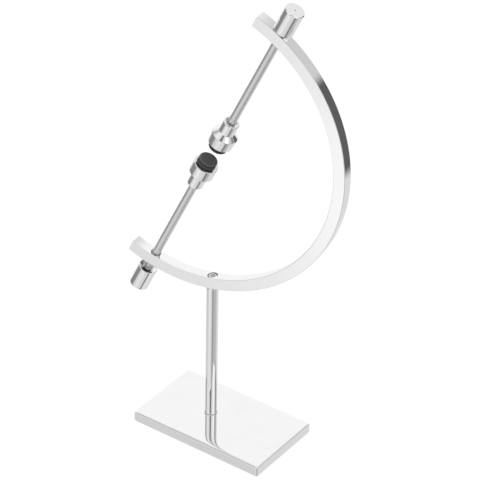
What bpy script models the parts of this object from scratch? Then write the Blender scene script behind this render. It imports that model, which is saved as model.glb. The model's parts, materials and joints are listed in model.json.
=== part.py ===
"""Two-point display stand.

A heavy plate carries a round post. On the post sits a half-circle arc of square bar, leaning back.
Two round spindles slide and turn in bushes near the arc's ends, and hold a ball or egg between
rubber pads. Units are metres, +Z is up, and the origin is the middle of the plate's underside.
"""
import math

import bmesh
import bpy
from mathutils import Vector

# Fits
GAP = 0.0003                  # between two pieces that rest on each other or are pressed together
RUNNING = 0.0001              # radial clearance of a rod that slides and turns in its bush
OVERCUT = 0.002               # how far a cutter runs past the face that it opens
SEGMENTS = 48                 # sides of a round piece

# Base plate and its feet
PLATE_LENGTH = 0.150
PLATE_WIDTH = 0.090
PLATE_THICKNESS = 0.011
PLATE_ROUND = 0.0008
FOOT_RADIUS = 0.006
FOOT_THICKNESS = 0.0011
FOOT_RECESS = 0.0008
FOOT_INSET = 0.012            # foot centre to the plate's edges

# Post, and how it stands on the plate
POST_X = -0.0138
POST_Y = 0.0007
POST_RADIUS = 0.006
POST_LENGTH = 0.1507
POST_CHAMFER = 0.0006
SWIVEL = math.radians(6.0)    # how far the post is turned on the plate

# Screw from below, through the plate into the post
BASE_SCREW_RADIUS = 0.003
BASE_SCREW_REACH = 0.014      # length inside the post
BASE_HEAD_RADIUS = 0.005
BASE_HEAD_HEIGHT = 0.006
BASE_SOCKET_FLATS = 0.005
BASE_SOCKET_DEPTH = 0.003
BASE_WASHER_RADIUS = 0.0055
BASE_WASHER_THICKNESS = 0.001
BASE_HEAD_SUNK = 0.0002       # head's end above the plate's underside

# Arc of square bar
BAR = 0.012
BAR_ROUND = 0.0005
ARC_RADIUS = 0.155            # to the middle of the bar
ARC_SPAN = math.radians(181.0)
ARC_STEPS = 96
ARC_LEAN = math.radians(25.0) # line between the arc's ends, from vertical
ARC_BACK = 0.0218             # arc's centre behind the post's axis
SEAT_DEPTH = 0.0006           # flat for the post, cut into the bar on the post's axis
SEAT_CLEARANCE = 0.0005       # around the post where it enters that flat

# Screw from above, through the arc into the post
ARC_SCREW_RADIUS = 0.0025
ARC_SCREW_REACH = 0.010       # length inside the post
ARC_HEAD_RADIUS = 0.00425
ARC_HEAD_HEIGHT = 0.005
ARC_SOCKET_FLATS = 0.004
ARC_SOCKET_DEPTH = 0.0025
ARC_WASHER_RADIUS = 0.0048
ARC_WASHER_THICKNESS = 0.001
ARC_WEB = 0.0045              # bar left between the post's flat and the washer

# Spindles: alike but for the outsides of their heads, and drilled slightly out of line in the arc
UPPER_LINE = 0.0246           # upper spindle's axis, from the arc's centre
LOWER_LINE = 0.0228           # lower spindle's axis, from the arc's centre
ROD_RADIUS = 0.004
UPPER_EXPOSED = 0.1209        # upper rod, between knob and head
LOWER_EXPOSED = 0.1227        # lower rod, between knob and head
ROD_IN_KNOB = 0.018
ROD_IN_HEAD = 0.014
BUSH_WALL = 0.0007
BUSH_PROUD = 0.0004
UPPER_OUT = 0.0018            # upper knob's distance from its seat on the arc
LOWER_OUT = 0.0075            # lower knob's distance from its seat on the arc

# Knob
KNOB_RADIUS = 0.0096
KNOB_LENGTH = 0.0256
KNOB_CHAMFER = 0.0006
KNOB_MOUTH_RADIUS = 0.0086
KNOB_BORE_RADIUS = 0.0054
KNOB_CONE = 0.0022            # depth of the cone at the mouth
KNOB_BORE_DEPTH = 0.008
CENTRE_MARK_RADIUS = 0.0006
CENTRE_MARK_DEPTH = 0.0005

# Head
UPPER_RIM_RADIUS = 0.0120
UPPER_SHOULDER_RADIUS = 0.0128
LOWER_RIM_RADIUS = 0.0121
LOWER_SHOULDER_RADIUS = 0.0122
HEAD_BODY_LENGTH = 0.0123
HEAD_CONE_LENGTH = 0.0040
HUB_RADIUS = 0.0079
HUB_LENGTH = 0.0119
HUB_RECESS_RADIUS = 0.0056
HUB_RECESS_DEPTH = 0.0025
HEAD_CHAMFER = 0.0004

# Rubber pad
PAD_RADIUS = 0.0092
PAD_ROUND = 0.0006
PAD_STEM_RADIUS = 0.005
PAD_STEM_LENGTH = 0.0045
PAD_STANDOUT = 0.0064

# Sizes that follow from the ones above
BAR_OUTER = ARC_RADIUS + BAR / 2
BAR_INNER = ARC_RADIUS - BAR / 2
POST_BOTTOM = PLATE_THICKNESS + GAP
POST_TOP = POST_BOTTOM + POST_LENGTH
SEAT_Z = POST_TOP + GAP
ARC_CENTRE_Z = SEAT_Z - SEAT_DEPTH + math.sqrt(BAR_OUTER ** 2 - ARC_BACK ** 2)
BASE_WASHER_TOP = BASE_HEAD_SUNK + BASE_HEAD_HEIGHT + GAP + BASE_WASHER_THICKNESS
BASE_POCKET_RADIUS = BASE_WASHER_RADIUS + GAP
BASE_POCKET_DEPTH = BASE_WASHER_TOP + GAP
ARC_FLOOR_Z = SEAT_Z + ARC_WEB
ARC_WASHER_BOTTOM = ARC_FLOOR_Z + GAP
ARC_HEAD_BOTTOM = ARC_WASHER_BOTTOM + ARC_WASHER_THICKNESS + GAP
ARC_POCKET_RADIUS = ARC_WASHER_RADIUS + GAP
BUSH_INNER_RADIUS = ROD_RADIUS + RUNNING
BUSH_OUTER_RADIUS = BUSH_INNER_RADIUS + BUSH_WALL
HEAD_LENGTH = HEAD_BODY_LENGTH + HEAD_CONE_LENGTH + HUB_LENGTH

# Colours
STEEL = (0.78, 0.78, 0.79)
DARK_STEEL = (0.16, 0.16, 0.17)
RUBBER = (0.028, 0.028, 0.03)
BUSH_STEEL = (0.55, 0.55, 0.56)
FELT = (0.06, 0.06, 0.06)


def clear_scene():
    for obj in list(bpy.data.objects):
        bpy.data.objects.remove(obj, do_unlink=True)


def new_collection(name):
    collection = bpy.data.collections.new(name)
    bpy.context.scene.collection.children.link(collection)
    return collection


def new_material(name, colour, roughness, metallic):
    material = bpy.data.materials.new(name)
    material.use_nodes = True
    shader = material.node_tree.nodes["Principled BSDF"]
    shader.inputs["Base Color"].default_value = (*colour, 1.0)
    shader.inputs["Roughness"].default_value = roughness
    shader.inputs["Metallic"].default_value = metallic
    return material


def polished(name):
    return new_material(name, STEEL, 0.06, 1.0)


def new_empty(name, parent, location, rotation=(0.0, 0.0, 0.0)):
    empty = bpy.data.objects.new(name, None)
    empty.parent = parent
    empty.location = location
    empty.rotation_euler = rotation
    PARTS.objects.link(empty)
    return empty


def add_object(name, mesh, parent, material):
    obj = bpy.data.objects.new(name, mesh)
    obj.parent = parent
    if material is None:
        obj.hide_render = True
        obj.display_type = "WIRE"
        CUTTERS.objects.link(obj)
    else:
        mesh.materials.append(material)
        PARTS.objects.link(obj)
    return obj


def bake(obj):
    """Keep the shape that the modifiers make as the object's own mesh, shaded smooth between its edges."""
    bpy.context.view_layer.update()
    shape = bpy.data.meshes.new_from_object(obj.evaluated_get(bpy.context.evaluated_depsgraph_get()))
    obj.modifiers.clear()
    obj.data = shape
    shape.name = obj.name
    shape.shade_smooth()
    shape.set_sharp_from_angle(angle=math.radians(30.0))
    return obj


def turned(name, profile, parent, material, ring=False):
    """Turn (radius, height) points, given down the outer side, about Z. A ring's last point meets its first."""
    mesh = bpy.data.meshes.new(name)
    edges = [(i, i + 1) for i in range(len(profile) - 1)]
    if ring:
        edges.append((len(profile) - 1, 0))
    mesh.from_pydata([(radius, 0.0, height) for radius, height in profile], edges, [])
    obj = add_object(name, mesh, parent, material)
    screw = obj.modifiers.new("turn", "SCREW")
    screw.axis = "Z"
    screw.angle = math.tau
    screw.steps = SEGMENTS
    screw.render_steps = SEGMENTS
    screw.use_merge_vertices = True
    screw.merge_threshold = 0.00001
    return bake(obj)


def prism(name, sides, radius, bottom, top, parent, material, location=(0.0, 0.0)):
    """A closed cylinder with the given number of sides between two heights."""
    mesh = bpy.data.meshes.new(name)
    shape = bmesh.new()
    bmesh.ops.create_cone(shape, cap_ends=True, segments=sides, radius1=radius, radius2=radius,
                          depth=top - bottom)
    bmesh.ops.translate(shape, verts=shape.verts, vec=Vector((*location, (bottom + top) / 2)))
    shape.to_mesh(mesh)
    shape.free()
    obj = add_object(name, mesh, parent, material)
    mesh.shade_smooth()
    mesh.set_sharp_from_angle(angle=math.radians(30.0))
    return obj


def cut(obj, *cutters):
    for cutter in cutters:
        boolean = obj.modifiers.new(cutter.name, "BOOLEAN")
        boolean.operation = "DIFFERENCE"
        boolean.solver = "EXACT"
        boolean.object = cutter
    return bake(obj)


def round_edges(obj, width, segments):
    bevel = obj.modifiers.new("round", "BEVEL")
    bevel.width = width
    bevel.segments = segments
    bevel.limit_method = "ANGLE"
    bevel.angle_limit = math.radians(40.0)


def foot_places():
    x = PLATE_LENGTH / 2 - FOOT_INSET
    y = PLATE_WIDTH / 2 - FOOT_INSET
    return [(-x, -y), (x, -y), (x, y), (-x, y)]


def make_base_plate():
    mesh = bpy.data.meshes.new("base_plate")
    shape = bmesh.new()
    bmesh.ops.create_cube(shape, size=1.0)
    bmesh.ops.scale(shape, verts=shape.verts, vec=(PLATE_LENGTH, PLATE_WIDTH, PLATE_THICKNESS))
    bmesh.ops.translate(shape, verts=shape.verts, vec=(0.0, 0.0, PLATE_THICKNESS / 2))
    shape.to_mesh(mesh)
    shape.free()
    plate = add_object("base_plate", mesh, None, polished("base_plate"))
    round_edges(plate, PLATE_ROUND, 3)
    cutters = [prism("cut_foot_%d" % i, SEGMENTS, FOOT_RADIUS + GAP, -OVERCUT, FOOT_RECESS, None, None, place)
               for i, place in enumerate(foot_places(), 1)]
    post_place = (POST_X, POST_Y)
    cutters.append(prism("cut_base_pocket", SEGMENTS, BASE_POCKET_RADIUS, -OVERCUT, BASE_POCKET_DEPTH,
                         None, None, post_place))
    cutters.append(prism("cut_base_hole", SEGMENTS, BASE_SCREW_RADIUS + GAP, -OVERCUT,
                         PLATE_THICKNESS + OVERCUT, None, None, post_place))
    return cut(plate, *cutters)


def make_feet():
    for i, place in enumerate(foot_places(), 1):
        name = "foot_pad_%d" % i
        top = FOOT_RECESS - GAP
        prism(name, SEGMENTS, FOOT_RADIUS, top - FOOT_THICKNESS, top, None,
              new_material(name, FELT, 0.95, 0.0), place)


def washer(name, outer, inner, bottom, thickness, parent):
    top = bottom + thickness
    profile = [(inner, top), (outer, top), (outer, bottom), (inner, bottom)]
    return turned(name, profile, parent, polished(name), ring=True)


def cap_screw(name, shank, reach_end, seat, head, head_end, flats, socket_depth, parent):
    """A socket-head screw on Z from reach_end to head_end, its head seated at seat, either end up."""
    if head_end > seat:
        profile = [(0.0, head_end), (head, head_end), (head, seat), (shank, seat),
                   (shank, reach_end), (0.0, reach_end)]
        span = (head_end - socket_depth, head_end + OVERCUT)
    else:
        profile = [(0.0, reach_end), (shank, reach_end), (shank, seat), (head, seat),
                   (head, head_end), (0.0, head_end)]
        span = (head_end - OVERCUT, head_end + socket_depth)
    screw = turned(name, profile, parent, new_material(name, DARK_STEEL, 0.35, 1.0))
    corner = flats / 2 / math.cos(math.pi / 6)
    socket = prism("cut_" + name, 6, corner, span[0], span[1], parent, None)
    return cut(screw, socket)


def make_base_screw(column):
    cap_screw("base_screw", BASE_SCREW_RADIUS, POST_BOTTOM + BASE_SCREW_REACH,
              BASE_HEAD_SUNK + BASE_HEAD_HEIGHT, BASE_HEAD_RADIUS, BASE_HEAD_SUNK,
              BASE_SOCKET_FLATS, BASE_SOCKET_DEPTH, column)


def make_base_washer(column):
    washer("base_washer", BASE_WASHER_RADIUS, BASE_SCREW_RADIUS + GAP,
           BASE_WASHER_TOP - BASE_WASHER_THICKNESS, BASE_WASHER_THICKNESS, column)


def make_post(column):
    upper_hole = ARC_SCREW_RADIUS + GAP
    upper_depth = ARC_SCREW_REACH + GAP
    lower_hole = BASE_SCREW_RADIUS + GAP
    lower_depth = BASE_SCREW_REACH + GAP
    profile = [(0.0, POST_TOP - upper_depth), (upper_hole, POST_TOP - upper_depth), (upper_hole, POST_TOP),
               (POST_RADIUS - POST_CHAMFER, POST_TOP), (POST_RADIUS, POST_TOP - POST_CHAMFER),
               (POST_RADIUS, POST_BOTTOM), (lower_hole, POST_BOTTOM),
               (lower_hole, POST_BOTTOM + lower_depth), (0.0, POST_BOTTOM + lower_depth)]
    turned("post", profile, column, polished("post"))


def arc_outline():
    """The half ring as a flat outline: the outer edge from one end to the other, then the inner edge back."""
    turns = [ARC_SPAN * (i / ARC_STEPS - 0.5) for i in range(ARC_STEPS + 1)]
    outer = [(BAR_OUTER * math.cos(t), BAR_OUTER * math.sin(t)) for t in turns]
    inner = [(BAR_INNER * math.cos(t), BAR_INNER * math.sin(t)) for t in reversed(turns)]
    return outer + inner


def make_bar_blank(arc):
    """The half ring of square bar, in the arc's own X-Z plane, before it is drilled."""
    curve = bpy.data.curves.new("arc_outline", "CURVE")
    curve.dimensions = "2D"
    curve.fill_mode = "BOTH"
    curve.extrude = BAR / 2
    points = arc_outline()
    spline = curve.splines.new("POLY")
    spline.points.add(len(points) - 1)
    for point, (x, z) in zip(spline.points, points):
        point.co = (x, z, 0.0, 1.0)
    spline.use_cyclic_u = True
    guide = bpy.data.objects.new("arc_outline", curve)
    CUTTERS.objects.link(guide)
    bpy.context.view_layer.update()
    mesh = bpy.data.meshes.new_from_object(guide.evaluated_get(bpy.context.evaluated_depsgraph_get()))
    bpy.data.objects.remove(guide, do_unlink=True)
    shape = bmesh.new()
    shape.from_mesh(mesh)
    bmesh.ops.remove_doubles(shape, verts=shape.verts, dist=0.00001)
    for vert in shape.verts:
        vert.co = Vector((vert.co.x, -vert.co.z, vert.co.y))
    bmesh.ops.recalc_face_normals(shape, faces=shape.faces)
    shape.to_mesh(mesh)
    shape.free()
    bar = add_object("arc_bar", mesh, arc, polished("arc_bar"))
    round_edges(bar, BAR_ROUND, 2)
    return bar


def make_arc_bar(column, arc, spindles):
    bar = make_bar_blank(arc)
    hole = BUSH_OUTER_RADIUS + GAP
    cutters = [prism("cut_bush_" + axis.name, SEGMENTS, hole, BAR_INNER - BAR, BAR_OUTER + BAR, axis, None)
               for axis in spindles]
    screw_hole = ARC_SCREW_RADIUS + GAP
    seat = POST_RADIUS + SEAT_CLEARANCE
    above = ARC_FLOOR_Z + 2 * BAR
    below = SEAT_Z - BAR
    profile = [(0.0, above), (ARC_POCKET_RADIUS, above), (ARC_POCKET_RADIUS, ARC_FLOOR_Z),
               (screw_hole, ARC_FLOOR_Z), (screw_hole, SEAT_Z), (seat, SEAT_Z), (seat, below), (0.0, below)]
    cutters.append(turned("cut_post_seat", profile, column, None))
    return cut(bar, *cutters)


def make_arc_screw(column):
    cap_screw("arc_screw", ARC_SCREW_RADIUS, POST_TOP - ARC_SCREW_REACH, ARC_HEAD_BOTTOM,
              ARC_HEAD_RADIUS, ARC_HEAD_BOTTOM + ARC_HEAD_HEIGHT, ARC_SOCKET_FLATS, ARC_SOCKET_DEPTH, column)


def make_arc_washer(column):
    washer("arc_washer", ARC_WASHER_RADIUS, ARC_SCREW_RADIUS + GAP, ARC_WASHER_BOTTOM,
           ARC_WASHER_THICKNESS, column)


def bar_face(radius, line):
    """How far along a spindle the bar's inner or outer face is, at a distance from the arc's centre line."""
    return math.sqrt(radius ** 2 - line ** 2)


def make_bush(side, axis, line):
    name = side + "_bush"
    bottom = bar_face(BAR_INNER, line + BUSH_OUTER_RADIUS) - BUSH_PROUD
    top = bar_face(BAR_OUTER, line - BUSH_OUTER_RADIUS) + BUSH_PROUD
    profile = [(BUSH_INNER_RADIUS, top), (BUSH_OUTER_RADIUS, top), (BUSH_OUTER_RADIUS, bottom),
               (BUSH_INNER_RADIUS, bottom)]
    turned(name, profile, axis, new_material(name, BUSH_STEEL, 0.5, 1.0), ring=True)


def make_knob(side, axis, mouth):
    """A closed barrel on the rod's outer end. Its open mouth faces the arc."""
    name = side + "_knob"
    end = mouth + KNOB_LENGTH
    rod_hole = ROD_RADIUS + GAP
    rod_end = mouth + ROD_IN_KNOB + GAP
    profile = [(0.0, end - CENTRE_MARK_DEPTH), (CENTRE_MARK_RADIUS, end), (KNOB_RADIUS - KNOB_CHAMFER, end),
               (KNOB_RADIUS, end - KNOB_CHAMFER), (KNOB_RADIUS, mouth), (KNOB_MOUTH_RADIUS, mouth),
               (KNOB_BORE_RADIUS, mouth + KNOB_CONE), (KNOB_BORE_RADIUS, mouth + KNOB_BORE_DEPTH),
               (rod_hole, mouth + KNOB_BORE_DEPTH), (rod_hole, rod_end), (0.0, rod_end)]
    turned(name, profile, axis, polished(name))


def make_head(side, axis, rim, rim_radius, shoulder_radius):
    """A turned head on the rod's inner end: hub, cone, and a body that narrows to the rim around the pad."""
    name = side + "_head"
    shoulder = rim + HEAD_BODY_LENGTH
    hub = shoulder + HEAD_CONE_LENGTH
    end = rim + HEAD_LENGTH
    recess = end - HUB_RECESS_DEPTH
    rod_hole = ROD_RADIUS + GAP
    rod_end = end - ROD_IN_HEAD - GAP
    pocket = PAD_STEM_RADIUS + GAP
    pocket_end = rim + PAD_STEM_LENGTH
    profile = [(0.0, rod_end), (rod_hole, rod_end), (rod_hole, recess), (HUB_RECESS_RADIUS, recess),
               (HUB_RECESS_RADIUS, end), (HUB_RADIUS - HEAD_CHAMFER, end), (HUB_RADIUS, end - HEAD_CHAMFER),
               (HUB_RADIUS, hub), (shoulder_radius, shoulder), (rim_radius, rim + HEAD_CHAMFER),
               (rim_radius - HEAD_CHAMFER, rim), (pocket, rim), (pocket, pocket_end), (0.0, pocket_end)]
    turned(name, profile, axis, polished(name))


def make_pad(side, axis, rim):
    name = side + "_pad"
    back = rim - GAP
    face = rim - PAD_STANDOUT
    stem_end = rim + PAD_STEM_LENGTH - GAP
    corner = [math.pi / 2 * i / 4 for i in range(5)]
    rounding = [(PAD_RADIUS - PAD_ROUND + PAD_ROUND * math.cos(t), face + PAD_ROUND - PAD_ROUND * math.sin(t))
                for t in corner]
    profile = [(0.0, stem_end), (PAD_STEM_RADIUS, stem_end), (PAD_STEM_RADIUS, back), (PAD_RADIUS, back)]
    turned(name, profile + rounding + [(0.0, face)], axis, new_material(name, RUBBER, 0.7, 0.0))


def make_spindle(side, axis, line, out, exposed):
    """A rod with its knob, in its bush; +Z points out of the arc. Returns where the head's rim is."""
    mouth = bar_face(BAR_OUTER, line - KNOB_RADIUS) + GAP + out
    hub_end = mouth - exposed
    prism(side + "_rod", SEGMENTS, ROD_RADIUS, hub_end - ROD_IN_HEAD, mouth + ROD_IN_KNOB, axis,
          new_material(side + "_rod", STEEL, 0.2, 1.0))
    make_knob(side, axis, mouth)
    make_bush(side, axis, line)
    return hub_end - HEAD_LENGTH


def main():
    column = new_empty("column_axis", None, (POST_X, POST_Y, 0.0), (0.0, 0.0, SWIVEL))
    arc = new_empty("arc_centre", column, (-ARC_BACK, 0.0, ARC_CENTRE_Z), (0.0, ARC_LEAN, 0.0))
    upper = new_empty("upper_axis", arc, (UPPER_LINE, 0.0, 0.0))
    lower = new_empty("lower_axis", arc, (LOWER_LINE, 0.0, 0.0), (math.pi, 0.0, 0.0))
    make_base_plate()
    make_feet()
    make_base_washer(column)
    make_base_screw(column)
    make_post(column)
    make_arc_bar(column, arc, (upper, lower))
    make_arc_washer(column)
    make_arc_screw(column)
    upper_rim = make_spindle("upper", upper, UPPER_LINE, UPPER_OUT, UPPER_EXPOSED)
    make_head("upper", upper, upper_rim, UPPER_RIM_RADIUS, UPPER_SHOULDER_RADIUS)
    make_pad("upper", upper, upper_rim)
    lower_rim = make_spindle("lower", lower, LOWER_LINE, LOWER_OUT, LOWER_EXPOSED)
    make_head("lower", lower, lower_rim, LOWER_RIM_RADIUS, LOWER_SHOULDER_RADIUS)
    make_pad("lower", lower, lower_rim)


clear_scene()
PARTS = new_collection("display_stand")
CUTTERS = new_collection("cutters")
main()
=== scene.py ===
"""Two-point display stand in polished steel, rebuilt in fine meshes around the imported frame. Metres, +Z up."""
import json
import math

import bmesh
import bpy
import numpy as np
from mathutils import Matrix, Vector


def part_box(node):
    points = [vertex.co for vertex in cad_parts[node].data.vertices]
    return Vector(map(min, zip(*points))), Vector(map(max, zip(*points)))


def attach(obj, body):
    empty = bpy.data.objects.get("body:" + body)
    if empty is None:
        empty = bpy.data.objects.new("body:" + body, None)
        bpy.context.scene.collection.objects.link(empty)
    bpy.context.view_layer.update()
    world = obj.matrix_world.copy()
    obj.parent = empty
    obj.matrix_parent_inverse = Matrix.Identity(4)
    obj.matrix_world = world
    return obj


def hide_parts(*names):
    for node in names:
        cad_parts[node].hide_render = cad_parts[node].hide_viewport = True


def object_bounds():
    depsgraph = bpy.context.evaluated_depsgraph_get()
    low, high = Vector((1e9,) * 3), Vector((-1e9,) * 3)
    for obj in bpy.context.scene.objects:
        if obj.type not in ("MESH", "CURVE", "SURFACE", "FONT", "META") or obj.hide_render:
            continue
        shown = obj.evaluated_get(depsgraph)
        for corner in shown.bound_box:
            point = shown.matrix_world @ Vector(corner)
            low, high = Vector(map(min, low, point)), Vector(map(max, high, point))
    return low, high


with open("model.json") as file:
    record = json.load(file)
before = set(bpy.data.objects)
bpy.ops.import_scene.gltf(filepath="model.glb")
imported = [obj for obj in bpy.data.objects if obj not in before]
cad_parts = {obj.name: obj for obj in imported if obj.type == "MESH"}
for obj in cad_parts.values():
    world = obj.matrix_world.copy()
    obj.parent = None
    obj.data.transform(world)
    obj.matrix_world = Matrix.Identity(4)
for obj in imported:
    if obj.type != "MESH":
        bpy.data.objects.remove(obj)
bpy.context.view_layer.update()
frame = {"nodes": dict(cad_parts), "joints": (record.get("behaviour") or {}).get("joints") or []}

NODES = frame["nodes"]
JOINTS = {joint["name"]: joint for joint in frame["joints"]}
UP = Vector((0.0, 0.0, 1.0))

# Round pieces
SIDES = 160
ARC_STEPS = 360
FILLET_STEPS = 5

# Base plate
PLATE_CORNER = 0.0018         # radius of the upright edges
PLATE_TOP_EDGE = 0.0005       # radius between the top and the sides
ROLL_SLOPE = 0.25             # slope of the polished roll-off at the very edge
ROLL_REACH = 0.0027           # distance over which that slope fades
RIM_SLOPE = 0.50              # extra slope close to the edge, from buffing
RIM_REACH = 0.0010
ROLL_END = 0.0200
CORNER_STEPS = 10

# Arc of square bar
ARC_RADIUS = 0.155
ARC_SPAN = math.radians(181.0)
BAR = 0.012
BAR_EDGE = 0.0006
ARC_BACK = 0.0218
SEAT_DEPTH = 0.0006
SEAT_CLEARANCE = 0.0005
GAP = 0.0003

# Turned pieces
EDGE = 0.00035
KNOB_MOUTH = 0.0086
KNOB_BORE = 0.0054
KNOB_CONE = 0.0022
KNOB_BORE_DEPTH = 0.008
KNOB_ROD_DEPTH = 0.018
KNOB_CHAMFER = 0.0007
CENTRE_MARK = 0.0007
HUB_RADIUS = 0.0079
HUB_LENGTH = 0.0119
CONE_LENGTH = 0.0040
RECESS_RADIUS = 0.0058
RECESS_DEPTH = 0.0024
RIM_RADIUS = {"upper": 0.0120, "lower": 0.0121}
HEAD_POCKET = 0.0053
PAD_STEM = 0.005
BUSH_PLAY = 0.0001
BUSH_EDGE = 0.00015

# Post
POST_COLLAR = 0.0005
POST_GROOVE_DEPTH = 0.0006
POST_GROOVE_DROP = 0.0016

# Camera
CAMERA_AZIMUTH = math.radians(35.29)
CAMERA_ELEVATION = math.radians(33.136)
CAMERA_ROLL = math.radians(1.125)
CAMERA_DISTANCE = 2.366
CAMERA_LENS = 188.35
CAMERA_SENSOR = 36.0
AIM_ACROSS = 0.01452
AIM_HEIGHT = 0.22002


# ---------------------------------------------------------------- geometry helpers

def extent(node, origin, axis):
    """(lowest, highest, largest radius) of a CAD node about a line."""
    points = np.array([v.co for v in NODES[node].data.vertices], float) - np.array(origin)
    along = points @ np.array(axis)
    radius = np.linalg.norm(points - np.outer(along, np.array(axis)), axis=1)
    return float(along.min()), float(along.max()), float(radius.max())


def axis_matrix(origin, axis, across=None):
    """Places local +Z on the axis, with local +X near the given direction."""
    z = Vector(axis).normalized()
    x = Vector(across) if across is not None else Vector((1.0, 0.0, 0.0))
    x = (x - x.dot(z) * z).normalized()
    y = z.cross(x)
    matrix = Matrix((x, y, z)).transposed().to_4x4()
    matrix.translation = Vector(origin)
    return matrix


def rounded(points, closed=False):
    """Replace each (a, b, radius) corner by a small arc, and keep the corners whose radius is 0."""
    result = []
    count = len(points)
    for i, (a, b, radius) in enumerate(points):
        here = Vector((a, b))
        if radius <= 0.0 or (not closed and i in (0, count - 1)):
            result.append((a, b))
            continue
        before = Vector(points[i - 1][:2]) - here
        after = Vector(points[(i + 1) % count][:2]) - here
        half_turn = before.angle(after) / 2
        reach = min(radius / math.tan(half_turn), 0.49 * before.length, 0.49 * after.length)
        start = before.normalized() * reach
        end = after.normalized() * reach
        middle = (start + end).normalized() * reach / math.cos(half_turn)
        for k in range(FILLET_STEPS + 1):
            share = k / FILLET_STEPS
            sweep = (start - middle).angle(end - middle)
            arm = ((start - middle) * math.sin((1 - share) * sweep) + (end - middle) * math.sin(share * sweep))
            spot = here + middle + arm / math.sin(sweep)
            result.append((spot.x, spot.y))
    return result


def new_object(name, mesh, matrix):
    obj = bpy.data.objects.new(name, mesh)
    obj.matrix_world = matrix
    bpy.context.scene.collection.objects.link(obj)
    return obj


def finish_mesh(shape, name):
    mesh = bpy.data.meshes.new(name)
    bmesh.ops.recalc_face_normals(shape, faces=shape.faces)
    shape.to_mesh(mesh)
    shape.free()
    mesh.shade_smooth()
    return mesh


def weight_normals(obj, angle=35.0):
    """Keep broad faces flat next to their rounded edges."""
    obj.data.set_sharp_from_angle(angle=math.radians(angle))
    weighted = obj.modifiers.new("weighted", "WEIGHTED_NORMAL")
    weighted.mode = "FACE_AREA"
    weighted.weight = 60
    weighted.keep_sharp = True
    return obj


def lathe(name, profile, matrix, sides=SIDES):
    """Turn a closed or axis-to-axis outline of (radius, height) points about local Z."""
    shape = bmesh.new()
    rings = []
    for radius, height in profile:
        if radius < 1e-7:
            rings.append([shape.verts.new((0.0, 0.0, height))])
        else:
            rings.append([shape.verts.new((radius * math.cos(math.tau * k / sides),
                                           radius * math.sin(math.tau * k / sides), height))
                          for k in range(sides)])
    pairs = list(zip(rings, rings[1:]))
    if len(rings[0]) > 1 and len(rings[-1]) > 1:
        pairs.append((rings[-1], rings[0]))
    for low, high in pairs:
        for k in range(sides):
            n = (k + 1) % sides
            corners = [low[k % len(low)], low[n % len(low)], high[n % len(high)], high[k % len(high)]]
            unique = []
            for vert in corners:
                if vert not in unique:
                    unique.append(vert)
            if len(unique) > 2:
                shape.faces.new(unique)
    return weight_normals(new_object(name, finish_mesh(shape, name), matrix))


def subtract(obj, cutters):
    """Cut each cutter out of obj, and keep the result as obj's own mesh."""
    for cutter in cutters:
        boolean = obj.modifiers.new("cut", "BOOLEAN")
        boolean.operation = "DIFFERENCE"
        boolean.solver = "EXACT"
        boolean.object = cutter
    bpy.context.view_layer.update()
    result = bpy.data.meshes.new_from_object(obj.evaluated_get(bpy.context.evaluated_depsgraph_get()))
    obj.modifiers.clear()
    obj.data = result
    for cutter in cutters:
        bpy.data.objects.remove(cutter, do_unlink=True)
    return obj


def plug(radius, low, high, matrix, sides=96):
    return lathe("plug", [(0.0, low), (radius, low), (radius, high), (0.0, high)], matrix, sides)


def settle(obj, material, body, slot, *nodes):
    obj.data.materials.clear()
    obj.data.materials.append(material)
    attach(obj, body)
    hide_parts(*nodes)
    return obj


# ---------------------------------------------------------------- materials

class Graph:
    """Short calls for building a node tree."""

    def __init__(self, tree):
        self.tree = tree

    def node(self, kind, **settings):
        node = self.tree.nodes.new(kind)
        for key, value in settings.items():
            setattr(node, key, value)
        return node

    def feed(self, socket, value):
        if isinstance(value, bpy.types.NodeSocket):
            self.tree.links.new(value, socket)
        else:
            socket.default_value = value

    def math(self, operation, *values):
        node = self.node("ShaderNodeMath", operation=operation)
        for socket, value in zip(node.inputs, values):
            self.feed(socket, value)
        return node.outputs[0]

    def smooth(self, value, low, high):
        """0 at low, 1 at high, with a soft step between. low may be the larger."""
        node = self.node("ShaderNodeMapRange", interpolation_type="SMOOTHSTEP", clamp=True)
        self.feed(node.inputs["Value"], value)
        self.feed(node.inputs["From Min"], min(low, high))
        self.feed(node.inputs["From Max"], max(low, high))
        self.feed(node.inputs["To Min"], 0.0 if low < high else 1.0)
        self.feed(node.inputs["To Max"], 1.0 if low < high else 0.0)
        return node.outputs["Result"]

    def ranged(self, value, from_low, from_high, to_low, to_high):
        node = self.node("ShaderNodeMapRange", clamp=True)
        for socket, number in zip(node.inputs, (value, from_low, from_high, to_low, to_high)):
            self.feed(socket, number)
        return node.outputs["Result"]

    def noise(self, vector, scale, detail=2.0, roughness=0.5):
        node = self.node("ShaderNodeTexNoise")
        self.feed(node.inputs["Vector"], vector)
        self.feed(node.inputs["Scale"], scale)
        self.feed(node.inputs["Detail"], detail)
        self.feed(node.inputs["Roughness"], roughness)
        return node.outputs["Fac"]

    def scaled(self, vector, scale):
        node = self.node("ShaderNodeVectorMath", operation="MULTIPLY")
        self.feed(node.inputs[0], vector)
        node.inputs[1].default_value = scale
        return node.outputs["Vector"]

    def mixed(self, factor, first, second):
        node = self.node("ShaderNodeMix", data_type="RGBA")
        self.feed(node.inputs["Factor"], factor)
        self.feed(node.inputs["A"], first)
        self.feed(node.inputs["B"], second)
        return node.outputs["Result"]

    def bump(self, height, strength, distance, normal=None):
        node = self.node("ShaderNodeBump")
        self.feed(node.inputs["Height"], height)
        node.inputs["Strength"].default_value = strength
        node.inputs["Distance"].default_value = distance
        if normal is not None:
            self.feed(node.inputs["Normal"], normal)
        return node.outputs["Normal"]


def new_material(name):
    material = bpy.data.materials.new(name)
    material.use_nodes = True
    graph = Graph(material.node_tree)
    shader = material.node_tree.nodes["Principled BSDF"]
    place = graph.node("ShaderNodeTexCoord").outputs["Object"]
    return material, graph, shader, place


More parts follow.
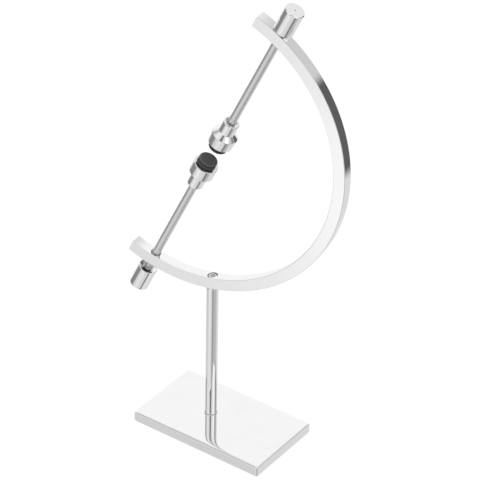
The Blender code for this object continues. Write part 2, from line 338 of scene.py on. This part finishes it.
def grey(value, warm=0.0):
    return (value * (1 + warm), value, value * (1 - warm), 1.0)


def steel(name, tone, roughness, grain, grain_depth, wear=0.02):
    """Polished or ground steel. A small number in grain lets the fine scratches run along that axis."""
    material, graph, shader, place = new_material(name)
    scratches = graph.noise(graph.scaled(place, grain), 1.0, 3.0, 0.6)
    patches = graph.noise(place, 45.0, 3.0, 0.5)
    smudges = graph.smooth(patches, 0.45, 0.8)
    shade = graph.mixed(scratches, grey(tone * 0.985), grey(min(tone * 1.01, 1.0)))
    graph.feed(shader.inputs["Base Color"], graph.mixed(smudges, shade, grey(tone * 0.975, 0.003)))
    rough = graph.ranged(scratches, 0.3, 0.7, roughness * 0.8, roughness * 1.2)
    graph.feed(shader.inputs["Roughness"], graph.math("MULTIPLY_ADD", smudges, wear, rough))
    graph.feed(shader.inputs["Normal"], graph.bump(scratches, 0.3, grain_depth))
    shader.inputs["Metallic"].default_value = 1.0
    return material


def turned_steel(name, tone, roughness, grain, grain_depth):
    """Turned steel, with painted shade in the centre hole on the axis."""
    material = steel(name, tone, roughness, grain, grain_depth)
    graph = Graph(material.node_tree)
    shader = material.node_tree.nodes["Principled BSDF"]
    place = graph.node("ShaderNodeTexCoord").outputs["Object"]
    split = graph.node("ShaderNodeSeparateXYZ")
    graph.feed(split.inputs[0], place)
    reach = graph.math("SQRT", graph.math("ADD", graph.math("POWER", split.outputs["X"], 2.0),
                                          graph.math("POWER", split.outputs["Y"], 2.0)))
    base = shader.inputs["Base Color"]
    # painted shade: the centre hole on the axis is coloured near black
    hole = graph.smooth(reach, CENTRE_MARK * 1.1, CENTRE_MARK * 0.7)
    graph.feed(base, graph.mixed(hole, base.links[0].from_socket, grey(0.08)))
    return material


def rubber(name, tone):
    material, graph, shader, place = new_material(name)
    fine = graph.noise(place, 2600.0, 3.0, 0.6)
    broad = graph.noise(place, 160.0, 2.0, 0.5)
    dust = graph.smooth(graph.noise(place, 900.0, 4.0, 0.7), 0.62, 0.8)
    shade = graph.mixed(broad, grey(tone * 0.85), grey(tone * 1.2))
    graph.feed(shader.inputs["Base Color"], graph.mixed(dust, shade, grey(tone * 1.7)))
    graph.feed(shader.inputs["Roughness"], graph.ranged(fine, 0.3, 0.7, 0.48, 0.68))
    graph.feed(shader.inputs["Normal"], graph.bump(fine, 0.5, 0.00005))
    shader.inputs["Specular IOR Level"].default_value = 0.4
    return material


def tip_rubber(name, tone, side):
    """The pad's rubber, with random dust, a painted highlight on its face edge and parting band, and painted
    shade in the grooves beside them.
    """
    material, graph, shader, place = new_material(name)
    joint = JOINTS[side + "_spin"]
    low, _, radius = extent(side + "_pad", joint["pos_m"], joint["axis"])
    tall = extent(side + "_head", joint["pos_m"], joint["axis"])[0] - low
    split = graph.node("ShaderNodeSeparateXYZ")
    graph.feed(split.inputs[0], place)
    depth = graph.math("DIVIDE", graph.math("SUBTRACT", split.outputs["Z"], low), tall)
    reach = graph.math("SQRT", graph.math("ADD", graph.math("POWER", split.outputs["X"], 2.0),
                                          graph.math("POWER", split.outputs["Y"], 2.0)))
    # painted highlight: the rubber is lightened round the edge of the face
    edge = graph.math("MULTIPLY", graph.smooth(reach, radius * 0.80, radius * 0.90),
                      graph.smooth(depth, 0.22, 0.10))
    # painted highlight: the rubber is lightened along the parting band
    band = graph.math("MULTIPLY", graph.smooth(depth, 0.46, 0.54), graph.smooth(depth, 0.80, 0.70))
    # painted shade: the rubber is darkened in the groove between the face edge and the parting band
    groove = graph.math("MULTIPLY", graph.smooth(depth, 0.20, 0.32), graph.smooth(depth, 0.52, 0.44))
    fine = graph.noise(place, 2600.0, 3.0, 0.6)
    broad = graph.noise(place, 260.0, 3.0, 0.6)
    dust = graph.smooth(graph.noise(place, 700.0, 4.0, 0.7), 0.60, 0.78)
    shade = graph.mixed(broad, grey(tone * 0.75), grey(tone * 1.3))
    shade = graph.mixed(dust, shade, grey(tone * 1.7))
    shade = graph.mixed(groove, shade, grey(tone * 0.45))
    # painted highlight on the face edge and parting band, broken up by noise
    painted_highlight = graph.math("MULTIPLY", graph.math("MAXIMUM", edge, band), graph.ranged(broad, 0.3, 0.7, 0.3, 1.0))
    graph.feed(shader.inputs["Base Color"], graph.mixed(painted_highlight, shade, grey(tone * 2.1)))
    graph.feed(shader.inputs["Roughness"], graph.ranged(fine, 0.3, 0.7, 0.45, 0.65))
    graph.feed(shader.inputs["Normal"], graph.bump(fine, 0.5, 0.00005))
    shader.inputs["Specular IOR Level"].default_value = 0.35
    return material


POLISHED = steel("polished_steel", 0.97, 0.045, (700.0, 700.0, 700.0), 0.000002)
PLATE_STEEL = steel("plate_steel", 0.97, 0.035, (160.0, 900.0, 900.0), 0.0000015)
GROUND = steel("ground_steel", 0.84, 0.36, (1500.0, 1500.0, 700.0), 0.00006)
TURNED = turned_steel("turned_steel", 0.97, 0.055, (60.0, 60.0, 6000.0), 0.000002)
SCREW_STEEL = steel("screw_steel", 0.75, 0.16, (900.0, 900.0, 900.0), 0.00001)
WASHER_STEEL = steel("washer_steel", 0.8, 0.22, (1500.0, 1500.0, 1500.0), 0.00001)
PAD_RUBBER = {side: tip_rubber(side + "_pad_rubber", 0.032, side) for side in ("upper", "lower")}
FOOT_RUBBER = rubber("foot_rubber", 0.045)
BUSH_STEEL = steel("bush_steel", 0.55, 0.28, (900.0, 900.0, 4000.0), 0.00001)


# ---------------------------------------------------------------- base plate

def plate_ring(half_x, half_y, corner):
    """A rectangle's outline with round corners, anticlockwise."""
    points = []
    for turn, (sx, sy) in enumerate(((1, 1), (-1, 1), (-1, -1), (1, -1))):
        cx = sx * (half_x - corner)
        cy = sy * (half_y - corner)
        for k in range(CORNER_STEPS + 1):
            t = math.pi / 2 * (turn + k / CORNER_STEPS)
            points.append((cx + corner * math.cos(t), cy + corner * math.sin(t)))
    return points


def make_plate():
    low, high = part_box("base_plate")
    half_x = (high.x - low.x) / 2
    half_y = (high.y - low.y) / 2
    centre = ((low.x + high.x) / 2, (low.y + high.y) / 2)
    thick = high.z - low.z
    section = [(ROLL_END, 0.0), (0.0006, 0.0), (0.0002, 0.0001), (0.0, 0.0006)]
    top_turn = math.pi / 2 - math.atan(ROLL_SLOPE + RIM_SLOPE)
    roll_start = PLATE_TOP_EDGE * (1 - math.cos(top_turn))
    edge_top = thick - ROLL_SLOPE * ROLL_REACH - RIM_SLOPE * RIM_REACH - PLATE_TOP_EDGE * math.sin(top_turn)
    section.append((0.0, edge_top - PLATE_TOP_EDGE))
    for k in range(11):
        t = top_turn * k / 10
        section.append((PLATE_TOP_EDGE * (1 - math.cos(t)), edge_top + PLATE_TOP_EDGE * math.sin(t)))
    steps = 60
    for k in range(1, steps + 1):
        away = (ROLL_END - roll_start) * (k / steps) ** 2.4
        drop = (ROLL_SLOPE * ROLL_REACH * math.exp(-away / ROLL_REACH)
                + RIM_SLOPE * RIM_REACH * math.exp(-away / RIM_REACH))
        section.append((roll_start + away, thick - drop))
    shape = bmesh.new()
    rings = []
    for inset, height in section:
        ring = plate_ring(half_x - inset, half_y - inset, PLATE_CORNER + 0.75 * inset)
        rings.append([shape.verts.new((x + centre[0], y + centre[1], low.z + height)) for x, y in ring])
    for lower, upper in zip(rings, rings[1:]):
        count = len(lower)
        for k in range(count):
            n = (k + 1) % count
            shape.faces.new((lower[k], lower[n], upper[n], upper[k]))
    shape.faces.new(list(reversed(rings[0])))
    shape.faces.new(rings[-1])
    plate = new_object("plate", finish_mesh(shape, "plate"), Matrix.Identity(4))
    cutters = []
    for i in range(1, 5):
        foot_low, foot_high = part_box("foot_pad_%d" % i)
        place = Matrix.Translation(((foot_low.x + foot_high.x) / 2, (foot_low.y + foot_high.y) / 2, 0.0))
        radius = (foot_high.x - foot_low.x) / 2 + GAP
        cutters.append(plug(radius, -0.002, foot_high.z + GAP, place))
    column = Matrix.Translation(JOINTS["column_swivel"]["pos_m"])
    washer_low, washer_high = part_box("base_washer")
    radius = (washer_high.x - washer_low.x) / 2 + GAP
    cutters.append(plug(radius, -0.002, washer_high.z + GAP, column))
    subtract(plate, cutters)
    weight_normals(plate)
    return settle(plate, PLATE_STEEL, "base", "base_plate", "base_plate")


def make_feet():
    for i in range(1, 5):
        low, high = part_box("foot_pad_%d" % i)
        place = Matrix.Translation(((low.x + high.x) / 2, (low.y + high.y) / 2, 0.0))
        radius = (high.x - low.x) / 2
        profile = rounded([(0.0, low.z, 0.0), (radius, low.z, EDGE), (radius, high.z, 0.0001),
                           (0.0, high.z, 0.0)])
        foot = lathe("foot_%d" % i, profile, place, 64)
        settle(foot, FOOT_RUBBER, "base", "foot_pad", "foot_pad_%d" % i)


# ---------------------------------------------------------------- post and screws

def column_matrix():
    return axis_matrix(JOINTS["column_swivel"]["pos_m"], UP, arc_side())


def arc_side():
    """Horizontal direction from the column towards the arc's closed side."""
    lean = Vector(JOINTS["upper_slide"]["axis"])
    return Vector((lean.x, lean.y, 0.0)).normalized()


def make_post():
    """The post with a small collar at its foot and a groove just under the arc."""
    place = column_matrix()
    low, high, radius = extent("post", place.translation, UP)
    collar = radius + POST_COLLAR
    neck = radius - POST_GROOVE_DEPTH
    groove = high - POST_GROOVE_DROP
    profile = rounded([(0.0, low, 0.0), (radius, low, 0.0), (collar, low + 0.0004, 0.0001),
                       (collar, low + 0.0010, 0.0002), (radius, low + 0.0013, 0.0001),
                       (radius, groove - 0.0004, 0.0001), (neck, groove, 0.0001),
                       (neck, groove + 0.0005, 0.0001), (radius, groove + 0.0009, 0.0001),
                       (radius, high, 0.0), (0.0, high, 0.0)])
    post = lathe("post_rod", profile, place)
    return settle(post, POLISHED, "column", "post", "post")


def make_washer(name, node, body, across_hole):
    place = column_matrix()
    low, high, radius = extent(node, place.translation, UP)
    profile = rounded([(across_hole, high, EDGE / 3), (radius, high, EDGE), (radius, low, EDGE / 3),
                       (across_hole, low, EDGE / 3)], closed=True)
    washer = lathe(name, profile, place, 96)
    return settle(washer, WASHER_STEEL, body, "washer", node)


def make_screw(name, node, shank, head, head_height, flats, socket, upward):
    """A socket-head cap screw with a six-sided socket and a chamfered head."""
    place = column_matrix()
    low, high, _ = extent(node, place.translation, UP)
    length = high - low
    profile = rounded([(0.0, 0.0, 0.0), (shank - 0.0005, 0.0, 0.0), (shank, 0.0005, 0.0),
                       (shank, length - head_height, 0.0002), (head, length - head_height, 0.0001),
                       (head, length, 0.0005), (flats * 0.66, length, 0.0), (flats * 0.6, length - 0.0003, 0.0),
                       (0.0, length - 0.0003, 0.0)])
    if upward:
        matrix = place @ Matrix.Translation((0.0, 0.0, low))
    else:
        matrix = place @ Matrix.Translation((0.0, 0.0, high)) @ Matrix.Rotation(math.pi, 4, "X")
    screw = lathe(name, profile, matrix, 96)
    hexagon = lathe("hexagon", [(0.0, length - socket), (flats / math.sqrt(3), length - socket),
                                (flats / math.sqrt(3), length + 0.002), (0.0, length + 0.002)], matrix, 6)
    subtract(screw, [hexagon])
    weight_normals(screw)
    return settle(screw, SCREW_STEEL, "column", "screw", node)


# ---------------------------------------------------------------- arc

def arc_frame():
    """Local X points from the arc's centre to its middle, local Z along the spindles."""
    spindle = Vector(JOINTS["upper_slide"]["axis"])
    across = spindle.cross(UP).normalized()
    closed_side = across.cross(spindle).normalized()
    if closed_side.dot(arc_side()) < 0:
        closed_side.negate()
    column = Vector(JOINTS["column_swivel"]["pos_m"])
    seat = extent("post", column, UP)[1] + GAP
    height = seat - SEAT_DEPTH + math.sqrt((ARC_RADIUS + BAR / 2) ** 2 - ARC_BACK ** 2)
    centre = column - arc_side() * ARC_BACK
    centre.z = height
    return axis_matrix(centre, spindle, closed_side)


def bar_section():
    half = BAR / 2
    corners = [(half, -half, BAR_EDGE), (half, half, BAR_EDGE),
               (-half, half, BAR_EDGE), (-half, -half, BAR_EDGE)]
    return rounded(corners, closed=True)


def bar_normal(point):
    """Unit normal of the finished bar at a point in the arc's own frame, away from its ends and holes."""
    ring = math.hypot(point.x, point.z)
    flat = BAR / 2 - BAR_EDGE
    out = ring - ARC_RADIUS
    side = point.y
    a = math.copysign(max(abs(out) - flat, 0.0), out)
    b = math.copysign(max(abs(side) - flat, 0.0), side)
    radial = Vector((point.x / ring, 0.0, point.z / ring))
    normal = radial * a + Vector((0.0, b, 0.0))
    return normal.normalized() if normal.length > 1e-9 else Vector((0.0, 0.0, 0.0))


def make_arc():
    place = arc_frame()
    section = bar_section()
    shape = bmesh.new()
    rings = []
    end_cut = 0.0005
    end_turn = end_cut / ARC_RADIUS
    turns = [(-ARC_SPAN / 2, 0.955), (-ARC_SPAN / 2 + end_turn * 0.3, 0.985)]
    turns += [(ARC_SPAN * (k / ARC_STEPS - 0.5) * (1 - 2 * end_turn / ARC_SPAN), 1.0)
              for k in range(ARC_STEPS + 1)]
    turns += [(ARC_SPAN / 2 - end_turn * 0.3, 0.985), (ARC_SPAN / 2, 0.955)]
    for turn, size in turns:
        rings.append([shape.verts.new(((ARC_RADIUS + a * size) * math.cos(turn), b * size,
                                       (ARC_RADIUS + a * size) * math.sin(turn))) for a, b in section])
    for low, high in zip(rings, rings[1:]):
        for k in range(len(section)):
            n = (k + 1) % len(section)
            shape.faces.new((low[k], low[n], high[n], high[k]))
    shape.faces.new(rings[0])
    shape.faces.new(list(reversed(rings[-1])))
    arc = new_object("arc", finish_mesh(shape, "arc"), place)
    cutters = []
    for side in ("upper", "lower"):
        origin = JOINTS[side + "_spin"]["pos_m"]
        axis = JOINTS[side + "_spin"]["axis"]
        radius = extent(side + "_bush", origin, axis)[2] + GAP
        cutters.append(plug(radius, 0.10, 0.20, axis_matrix(origin, axis)))
    column = column_matrix()
    _, post_high, post_radius = extent("post", column.translation, UP)
    washer_low, washer_high, washer_radius = extent("arc_washer", column.translation, UP)
    cutters.append(plug(post_radius + SEAT_CLEARANCE, post_high - BAR, post_high + GAP, column))
    cutters.append(plug(washer_radius + GAP, washer_low - GAP, washer_high + 2 * BAR, column))
    subtract(arc, cutters)
    mesh = arc.data
    normals = []
    for polygon in mesh.polygons:
        ideal = bar_normal(polygon.center)
        for index in polygon.loop_indices:
            point = mesh.vertices[mesh.loops[index].vertex_index].co
            smooth = ideal.length > 0.5 and polygon.normal.dot(ideal) > 0.93
            normal = bar_normal(point) if smooth else polygon.normal
            normals.append(normal if normal.length > 0.5 else polygon.normal)
    turn = place.to_3x3()
    mesh.transform(place)
    mesh.normals_split_custom_set([tuple(turn @ n) for n in normals])
    arc.matrix_world = Matrix.Identity(4)
    return settle(arc, POLISHED, "column", "arc_bar", "arc_bar")


# ---------------------------------------------------------------- spindles

def make_bush(side, matrix):
    node = side + "_bush"
    low, high, radius = extent(node, matrix.translation, matrix.col[2].xyz)
    bore = extent(side + "_rod", matrix.translation, matrix.col[2].xyz)[2] + BUSH_PLAY
    profile = rounded([(bore, high, BUSH_EDGE), (radius, high, BUSH_EDGE), (radius, low, BUSH_EDGE),
                       (bore, low, BUSH_EDGE)], closed=True)
    bush = lathe(node + "_ring", profile, matrix, 96)
    return settle(bush, BUSH_STEEL, "column", "bush", node)


def make_rod(side, matrix):
    node = side + "_rod"
    low, high, radius = extent(node, matrix.translation, matrix.col[2].xyz)
    profile = rounded([(0.0, low, 0.0), (radius, low, EDGE), (radius, high, EDGE), (0.0, high, 0.0)])
    rod = lathe(side + "_spindle", profile, matrix)
    return settle(rod, GROUND, side + "_slider", "rod", node)


def make_knob(side, matrix):
    node = side + "_knob"
    low, high, radius = extent(node, matrix.translation, matrix.col[2].xyz)
    hole = extent(side + "_rod", matrix.translation, matrix.col[2].xyz)[2] + GAP
    profile = rounded([(0.0, high - 0.0005, 0.0), (CENTRE_MARK, high, 0.0),
                       (radius - KNOB_CHAMFER, high, 0.00015), (radius, high - KNOB_CHAMFER, 0.00015),
                       (radius, low, 0.0003), (KNOB_MOUTH, low, 0.0002), (KNOB_BORE, low + KNOB_CONE, 0.0002),
                       (KNOB_BORE, low + KNOB_BORE_DEPTH, 0.0), (hole, low + KNOB_BORE_DEPTH, 0.0),
                       (hole, low + KNOB_ROD_DEPTH + GAP, 0.0), (0.0, low + KNOB_ROD_DEPTH + GAP, 0.0)])
    knob = lathe(side + "_barrel", profile, matrix)
    return settle(knob, TURNED, side + "_grip", "knob", node)


def make_head(side, matrix):
    node = side + "_head"
    low, high, widest = extent(node, matrix.translation, matrix.col[2].xyz)
    rod_low, _, rod_radius = extent(side + "_rod", matrix.translation, matrix.col[2].xyz)
    _, pad_high, pad_radius = extent(side + "_pad", matrix.translation, matrix.col[2].xyz)
    rim = RIM_RADIUS[side]
    shoulder = high - HUB_LENGTH - CONE_LENGTH
    hole = rod_radius + GAP
    profile = rounded([(0.0, rod_low - GAP, 0.0), (hole, rod_low - GAP, 0.0), (hole, high - RECESS_DEPTH, 0.0),
                       (RECESS_RADIUS, high - RECESS_DEPTH, 0.0002), (RECESS_RADIUS, high, 0.0003),
                       (HUB_RADIUS, high, 0.0005), (HUB_RADIUS, high - HUB_LENGTH, 0.0004),
                       (widest, shoulder, 0.0009), (rim, low, 0.0006), (pad_radius + 0.0002, low, 0.0002),
                       (pad_radius - 0.0002, low + 0.0003, 0.0),
                       (HEAD_POCKET, low + 0.0003, 0.0), (HEAD_POCKET, pad_high + GAP, 0.0),
                       (0.0, pad_high + GAP, 0.0)])
    head = lathe(side + "_cup", profile, matrix)
    return settle(head, TURNED, side + "_grip", "head", node)


def make_pad(side, matrix):
    """A moulded rubber tip: a stem in the head, a fine parting lip round its side and a soft-edged face."""
    node = side + "_pad"
    low, high, radius = extent(node, matrix.translation, matrix.col[2].xyz)
    head_low = extent(side + "_head", matrix.translation, matrix.col[2].xyz)[0]
    back = head_low - GAP
    tall = back - low
    side_in = radius - 0.0001
    groove = radius - 0.0005
    profile = rounded([(0.0, low, 0.0), (0.0035, low + 0.00002, 0.0), (radius - 0.0006, low + 0.00004, 0.0004),
                       (side_in, low + 0.0006, 0.0004), (side_in, low + tall * 0.34, 0.0002),
                       (groove, low + tall * 0.40, 0.0003), (radius, low + tall * 0.52, 0.0003),
                       (radius, low + tall * 0.74, 0.0003), (groove, low + tall * 0.86, 0.0003),
                       (side_in, back, 0.0), (PAD_STEM, back, 0.0), (PAD_STEM, high, 0.0002),
                       (0.0, high, 0.0)])
    pad = lathe(side + "_tip", profile, matrix)
    return settle(pad, PAD_RUBBER[side], side + "_grip", "pad", node)


def make_spindle(side):
    joint = JOINTS[side + "_spin"]
    matrix = axis_matrix(joint["pos_m"], joint["axis"], arc_side())
    make_bush(side, matrix)
    make_rod(side, matrix)
    make_knob(side, matrix)
    make_head(side, matrix)
    make_pad(side, matrix)


# ---------------------------------------------------------------- studio

def tone(value):
    """Light that a pale grey of 0 to 255 stands for on the screen."""
    level = value / 255.0
    return ((level + 0.055) / 1.055) ** 2.4 if level > 0.04045 else level / 12.92


# What surrounds the stand: azimuth, half width, lowest and highest elevation, softness (degrees), tone
SURROUNDINGS = [
    (0.0, 400.0, -95.0, -30.0, 14.0, 217.0),     # table
    (124.0, 36.0, -38.0, 58.0, 12.0, 249.0),     # white wall behind
    (240.0, 12.0, -50.0, -30.0, 8.0, 207.0),
    (254.0, 13.0, -54.0, -18.0, 11.0, 230.0),
    (250.5, 3.0, -34.0, -30.0, 3.5, 262.0),      # lamp's glow low on the left
    (266.0, 14.0, 50.0, 78.0, 12.0, 244.0),
    (197.0, 26.0, -31.0, 4.0, 10.0, 136.0),      # dark room on the left
    (195.0, 18.0, 4.0, 66.0, 12.0, 156.0),
    (356.0, 34.0, -52.0, -20.0, 14.0, 184.0),
    (345.0, 30.0, -90.0, -54.0, 16.0, 176.0),
    (314.0, 11.0, -46.0, 4.0, 14.0, 124.0),      # dark room behind the camera
    (319.0, 12.0, -85.0, -47.0, 11.0, 114.0),
    (294.0, 15.0, 4.0, 42.0, 12.0, 40.0),
    (318.0, 10.0, 44.0, 60.0, 10.0, 60.0),
    (351.0, 13.0, 12.0, 38.0, 10.0, 266.0),      # soft box on the right
    (33.0, 12.0, 2.0, 50.0, 12.0, 116.0),
    (68.0, 18.0, 12.0, 55.0, 8.0, 206.0),
    (59.0, 15.0, -27.5, 15.0, 3.0, 94.0),        # dark room on the right
]
OPEN_TONE = 228.0


def make_world():
    world = bpy.data.worlds.new("studio")
    bpy.context.scene.world = world
    world.use_nodes = True
    world.node_tree.nodes.clear()
    graph = Graph(world.node_tree)
    direction = graph.node("ShaderNodeTexCoord").outputs["Generated"]
    split = graph.node("ShaderNodeSeparateXYZ")
    graph.feed(split.inputs[0], direction)
    x, y, z = split.outputs
    height = graph.math("MULTIPLY", graph.math("ARCSINE", z), 180.0 / math.pi)
    level = tone(OPEN_TONE)
    for azimuth, half, low, high, soft, shade in SURROUNDINGS:
        mask = graph.smooth(height, low - soft, low + soft)
        mask = graph.math("MULTIPLY", mask, graph.smooth(height, high + soft, high - soft))
        if half < 180.0:
            cosine = math.cos(math.radians(azimuth))
            sine = math.sin(math.radians(azimuth))
            ahead = graph.math("ADD", graph.math("MULTIPLY", x, cosine), graph.math("MULTIPLY", y, sine))
            aside = graph.math("SUBTRACT", graph.math("MULTIPLY", y, cosine), graph.math("MULTIPLY", x, sine))
            angle = graph.math("MULTIPLY", graph.math("ARCTAN2", aside, ahead), 180.0 / math.pi)
            angle = graph.math("ABSOLUTE", angle)
            mask = graph.math("MULTIPLY", mask, graph.smooth(angle, half + soft, half - soft))
        level = graph.math("MULTIPLY_ADD", mask, graph.math("SUBTRACT", tone(shade), level), level)
    backdrop = graph.node("ShaderNodeBackground")
    backdrop.inputs["Color"].default_value = (1.0, 1.0, 1.0, 1.0)
    room = graph.node("ShaderNodeBackground")
    room.inputs["Color"].default_value = (1.0, 1.0, 1.0, 1.0)
    graph.feed(room.inputs["Strength"], level)
    seen = graph.node("ShaderNodeLightPath").outputs["Is Camera Ray"]
    mix = graph.node("ShaderNodeMixShader")
    graph.feed(mix.inputs[0], seen)
    graph.feed(mix.inputs[1], room.outputs[0])
    graph.feed(mix.inputs[2], backdrop.outputs[0])
    output = graph.node("ShaderNodeOutputWorld")
    graph.feed(output.inputs["Surface"], mix.outputs[0])


def make_floor():
    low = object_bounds()[0]
    shape = bmesh.new()
    bmesh.ops.create_circle(shape, cap_ends=True, segments=64, radius=12.0)
    floor = new_object("floor", finish_mesh(shape, "floor"), Matrix.Translation((0.0, 0.0, low[2])))
    material, _, shader, _ = new_material("floor_paper")
    shader.inputs["Base Color"].default_value = (0.09, 0.09, 0.09, 1.0)
    shader.inputs["Roughness"].default_value = 0.9
    shader.inputs["Specular IOR Level"].default_value = 0.0
    shader.inputs["Emission Color"].default_value = (1.0, 1.0, 1.0, 1.0)
    shader.inputs["Emission Strength"].default_value = 0.9
    floor.data.materials.append(material)
    floor.visible_glossy = False


def make_light(name, location, size, power):
    light = bpy.data.lights.new(name, "AREA")
    light.shape = "DISK"
    light.size = size
    light.energy = power
    obj = bpy.data.objects.new(name, light)
    obj.matrix_world = axis_matrix(location, Vector(location) - Vector((0.0, 0.0, 0.2)))
    bpy.context.scene.collection.objects.link(obj)
    obj.visible_glossy = False


def make_camera():
    across = Vector((math.cos(CAMERA_AZIMUTH), math.sin(CAMERA_AZIMUTH), 0.0))
    aim = across * AIM_ACROSS + Vector((0.0, 0.0, AIM_HEIGHT))
    away = Vector((math.sin(CAMERA_AZIMUTH) * math.cos(CAMERA_ELEVATION),
                   -math.cos(CAMERA_AZIMUTH) * math.cos(CAMERA_ELEVATION), math.sin(CAMERA_ELEVATION)))
    matrix = axis_matrix(aim + away * CAMERA_DISTANCE, away, across)
    camera = bpy.data.cameras.new("camera")
    camera.sensor_width = CAMERA_SENSOR
    camera.lens = CAMERA_LENS
    obj = bpy.data.objects.new("camera", camera)
    obj.matrix_world = matrix @ Matrix.Rotation(CAMERA_ROLL, 4, "Z")
    bpy.context.scene.collection.objects.link(obj)
    bpy.context.scene.camera = obj


make_plate()
make_feet()
make_post()
make_washer("base_ring", "base_washer", "base", 0.0033)
make_screw("base_bolt", "base_screw", 0.003, 0.005, 0.006, 0.005, 0.003, upward=False)
make_washer("arc_ring", "arc_washer", "column", 0.0028)
make_screw("arc_bolt", "arc_screw", 0.0025, 0.00425, 0.005, 0.004, 0.0025, upward=True)
make_arc()
make_spindle("upper")
make_spindle("lower")
make_world()
make_floor()
make_light("key", (0.5, -0.6, 1.6), 1.4, 26.0)
make_light("fill", (-0.9, 0.5, 1.2), 1.4, 12.0)
make_camera()
bpy.context.scene.view_settings.view_transform = "Standard"
